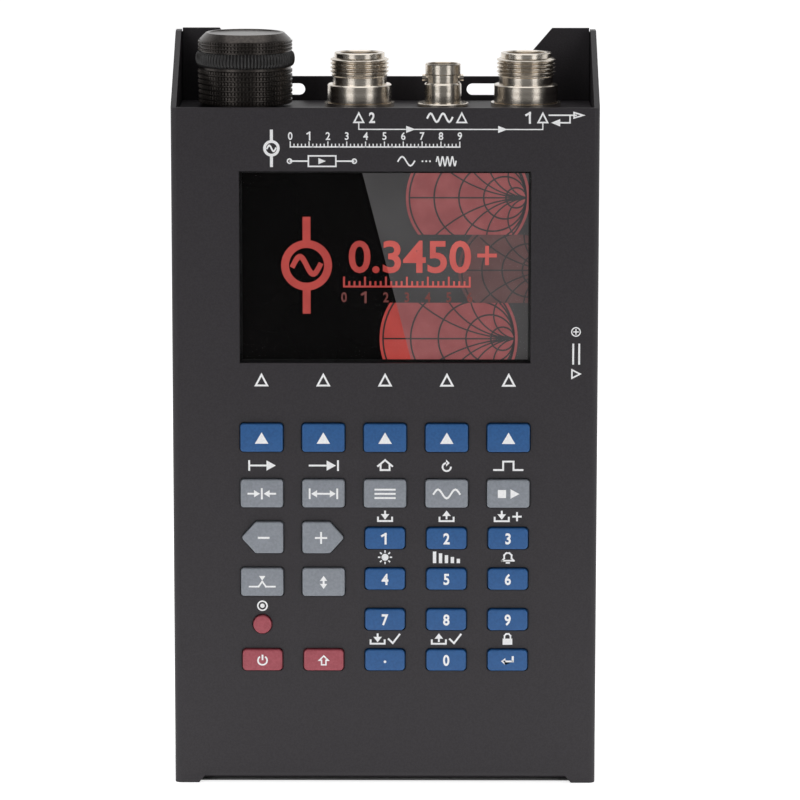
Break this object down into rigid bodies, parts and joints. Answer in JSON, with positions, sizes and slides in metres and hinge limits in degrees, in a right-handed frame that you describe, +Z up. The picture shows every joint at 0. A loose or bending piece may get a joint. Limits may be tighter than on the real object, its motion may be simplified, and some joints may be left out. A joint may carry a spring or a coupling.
{
  "type": "vector network analyzer",
  "caption": "Handheld vector network analyzer: sheet-metal case with screen and keypad, and a recessed top panel with coaxial ports and a tuning knob.",
  "frame": {"origin": "bottom centre of the bounding box of the instrument standing upright", "axes": "+X to the user's right, +Y from the front face to the rear plate, +Z up along the case"},
  "size_m": [0.114, 0.0402, 0.2025],
  "materials": {
    "case_paint": "fine-textured black powder coat",
    "blue_keys": "moulded silicone-filled plastic, satin",
    "grey_keys": "moulded plastic, satin",
    "red_keys": "moulded plastic, satin",
    "window_plate": "clear hard-coated plate",
    "display": "liquid-crystal panel",
    "black_plastic": "moulded black plastic",
    "circuit_board": "green solder mask",
    "zinc_steel": "zinc plated",
    "tinned_steel": "tinned",
    "black_screws": "black oxide",
    "nickel": "nickel plated, turned",
    "gold_contact": "gold plated",
    "white_dielectric": "white fluoropolymer",
    "black_anodised": "black anodised, knurled",
    "rubber": "matte moulded rubber",
    "cell_wrap": "shrink-wrapped sleeve"
  },
  "bodies": {
    "root": {"front_cover": "case_paint", "back_cover": "case_paint", "connector_panel": "case_paint", "bottom_panel": "case_paint", "side_brackets": "zinc_steel", "back_screws": "black_screws", "rubber_feet": "rubber", "display_window": "window_plate", "display_frame": "black_plastic", "display_panel": "display", "keypad_board": "circuit_board", "main_board": "circuit_board", "key_switches": "black_plastic", "board_standoffs": "zinc_steel", "rf_shields": "tinned_steel", "buzzer": "black_plastic", "power_jack": "black_plastic", "battery_cells": "cell_wrap", "battery_holder": "black_plastic", "port_1": "nickel", "port_2": "nickel", "bayonet_connector": "nickel", "connector_insulators": "white_dielectric", "connector_contacts": "gold_contact", "connector_washers": "nickel", "connector_nuts": "nickel", "encoder_body": "zinc_steel", "encoder_nut": "zinc_steel"},
    "soft_key_1": {"soft_key_1": "blue_keys"},
    "soft_key_2": {"soft_key_2": "blue_keys"},
    "soft_key_3": {"soft_key_3": "blue_keys"},
    "soft_key_4": {"soft_key_4": "blue_keys"},
    "soft_key_5": {"soft_key_5": "blue_keys"},
    "function_key_1": {"function_key_1": "grey_keys"},
    "function_key_2": {"function_key_2": "grey_keys"},
    "function_key_3": {"function_key_3": "grey_keys"},
    "function_key_4": {"function_key_4": "grey_keys"},
    "function_key_5": {"function_key_5": "grey_keys"},
    "decrease_key": {"decrease_key": "grey_keys"},
    "increase_key": {"increase_key": "grey_keys"},
    "marker_key": {"marker_key": "grey_keys"},
    "sweep_key": {"sweep_key": "grey_keys"},
    "round_key": {"round_key": "red_keys"},
    "power_key": {"power_key": "red_keys"},
    "shift_key": {"shift_key": "red_keys"},
    "key_point": {"key_point": "blue_keys"},
    "key_zero": {"key_zero": "blue_keys"},
    "enter_key": {"enter_key": "blue_keys"},
    "key_seven": {"key_seven": "blue_keys"},
    "key_eight": {"key_eight": "blue_keys"},
    "key_nine": {"key_nine": "blue_keys"},
    "key_four": {"key_four": "blue_keys"},
    "key_five": {"key_five": "blue_keys"},
    "key_six": {"key_six": "blue_keys"},
    "key_one": {"key_one": "blue_keys"},
    "key_two": {"key_two": "blue_keys"},
    "key_three": {"key_three": "blue_keys"},
    "knob": {"encoder_shaft": "zinc_steel", "tuning_knob": "black_anodised", "knob_grip_ring": "rubber"}
  },
  "joints": [
    {"name": "soft_key_1_press", "type": "slide", "parent": "root", "child": "soft_key_1", "axis": [0, 1, 0], "range_m": [0, 0.0006], "stiffness_N_per_m": 800},
    {"name": "soft_key_2_press", "type": "slide", "parent": "root", "child": "soft_key_2", "axis": [0, 1, 0], "range_m": [0, 0.0006], "stiffness_N_per_m": 800},
    {"name": "soft_key_3_press", "type": "slide", "parent": "root", "child": "soft_key_3", "axis": [0, 1, 0], "range_m": [0, 0.0006], "stiffness_N_per_m": 800},
    {"name": "soft_key_4_press", "type": "slide", "parent": "root", "child": "soft_key_4", "axis": [0, 1, 0], "range_m": [0, 0.0006], "stiffness_N_per_m": 800},
    {"name": "soft_key_5_press", "type": "slide", "parent": "root", "child": "soft_key_5", "axis": [0, 1, 0], "range_m": [0, 0.0006], "stiffness_N_per_m": 800},
    {"name": "function_key_1_press", "type": "slide", "parent": "root", "child": "function_key_1", "axis": [0, 1, 0], "range_m": [0, 0.0006], "stiffness_N_per_m": 800},
    {"name": "function_key_2_press", "type": "slide", "parent": "root", "child": "function_key_2", "axis": [0, 1, 0], "range_m": [0, 0.0006], "stiffness_N_per_m": 800},
    {"name": "function_key_3_press", "type": "slide", "parent": "root", "child": "function_key_3", "axis": [0, 1, 0], "range_m": [0, 0.0006], "stiffness_N_per_m": 800},
    {"name": "function_key_4_press", "type": "slide", "parent": "root", "child": "function_key_4", "axis": [0, 1, 0], "range_m": [0, 0.0006], "stiffness_N_per_m": 800},
    {"name": "function_key_5_press", "type": "slide", "parent": "root", "child": "function_key_5", "axis": [0, 1, 0], "range_m": [0, 0.0006], "stiffness_N_per_m": 800},
    {"name": "decrease_key_press", "type": "slide", "parent": "root", "child": "decrease_key", "axis": [0, 1, 0], "range_m": [0, 0.0006], "stiffness_N_per_m": 800},
    {"name": "increase_key_press", "type": "slide", "parent": "root", "child": "increase_key", "axis": [0, 1, 0], "range_m": [0, 0.0006], "stiffness_N_per_m": 800},
    {"name": "marker_key_press", "type": "slide", "parent": "root", "child": "marker_key", "axis": [0, 1, 0], "range_m": [0, 0.0006], "stiffness_N_per_m": 800},
    {"name": "sweep_key_press", "type": "slide", "parent": "root", "child": "sweep_key", "axis": [0, 1, 0], "range_m": [0, 0.0006], "stiffness_N_per_m": 800},
    {"name": "round_key_press", "type": "slide", "parent": "root", "child": "round_key", "axis": [0, 1, 0], "range_m": [0, 0.0006], "stiffness_N_per_m": 800},
    {"name": "power_key_press", "type": "slide", "parent": "root", "child": "power_key", "axis": [0, 1, 0], "range_m": [0, 0.0006], "stiffness_N_per_m": 800},
    {"name": "shift_key_press", "type": "slide", "parent": "root", "child": "shift_key", "axis": [0, 1, 0], "range_m": [0, 0.0006], "stiffness_N_per_m": 800},
    {"name": "key_point_press", "type": "slide", "parent": "root", "child": "key_point", "axis": [0, 1, 0], "range_m": [0, 0.0006], "stiffness_N_per_m": 800},
    {"name": "key_zero_press", "type": "slide", "parent": "root", "child": "key_zero", "axis": [0, 1, 0], "range_m": [0, 0.0006], "stiffness_N_per_m": 800},
    {"name": "enter_key_press", "type": "slide", "parent": "root", "child": "enter_key", "axis": [0, 1, 0], "range_m": [0, 0.0006], "stiffness_N_per_m": 800},
    {"name": "key_seven_press", "type": "slide", "parent": "root", "child": "key_seven", "axis": [0, 1, 0], "range_m": [0, 0.0006], "stiffness_N_per_m": 800},
    {"name": "key_eight_press", "type": "slide", "parent": "root", "child": "key_eight", "axis": [0, 1, 0], "range_m": [0, 0.0006], "stiffness_N_per_m": 800},
    {"name": "key_nine_press", "type": "slide", "parent": "root", "child": "key_nine", "axis": [0, 1, 0], "range_m": [0, 0.0006], "stiffness_N_per_m": 800},
    {"name": "key_four_press", "type": "slide", "parent": "root", "child": "key_four", "axis": [0, 1, 0], "range_m": [0, 0.0006], "stiffness_N_per_m": 800},
    {"name": "key_five_press", "type": "slide", "parent": "root", "child": "key_five", "axis": [0, 1, 0], "range_m": [0, 0.0006], "stiffness_N_per_m": 800},
    {"name": "key_six_press", "type": "slide", "parent": "root", "child": "key_six", "axis": [0, 1, 0], "range_m": [0, 0.0006], "stiffness_N_per_m": 800},
    {"name": "key_one_press", "type": "slide", "parent": "root", "child": "key_one", "axis": [0, 1, 0], "range_m": [0, 0.0006], "stiffness_N_per_m": 800},
    {"name": "key_two_press", "type": "slide", "parent": "root", "child": "key_two", "axis": [0, 1, 0], "range_m": [0, 0.0006], "stiffness_N_per_m": 800},
    {"name": "key_three_press", "type": "slide", "parent": "root", "child": "key_three", "axis": [0, 1, 0], "range_m": [0, 0.0006], "stiffness_N_per_m": 800},
    {"name": "knob_turn", "type": "hinge", "parent": "root", "child": "knob", "pos_m": [-0.0377, -0.00095, 0.19], "axis": [0, 0, 1], "continuous": true}
  ]
}
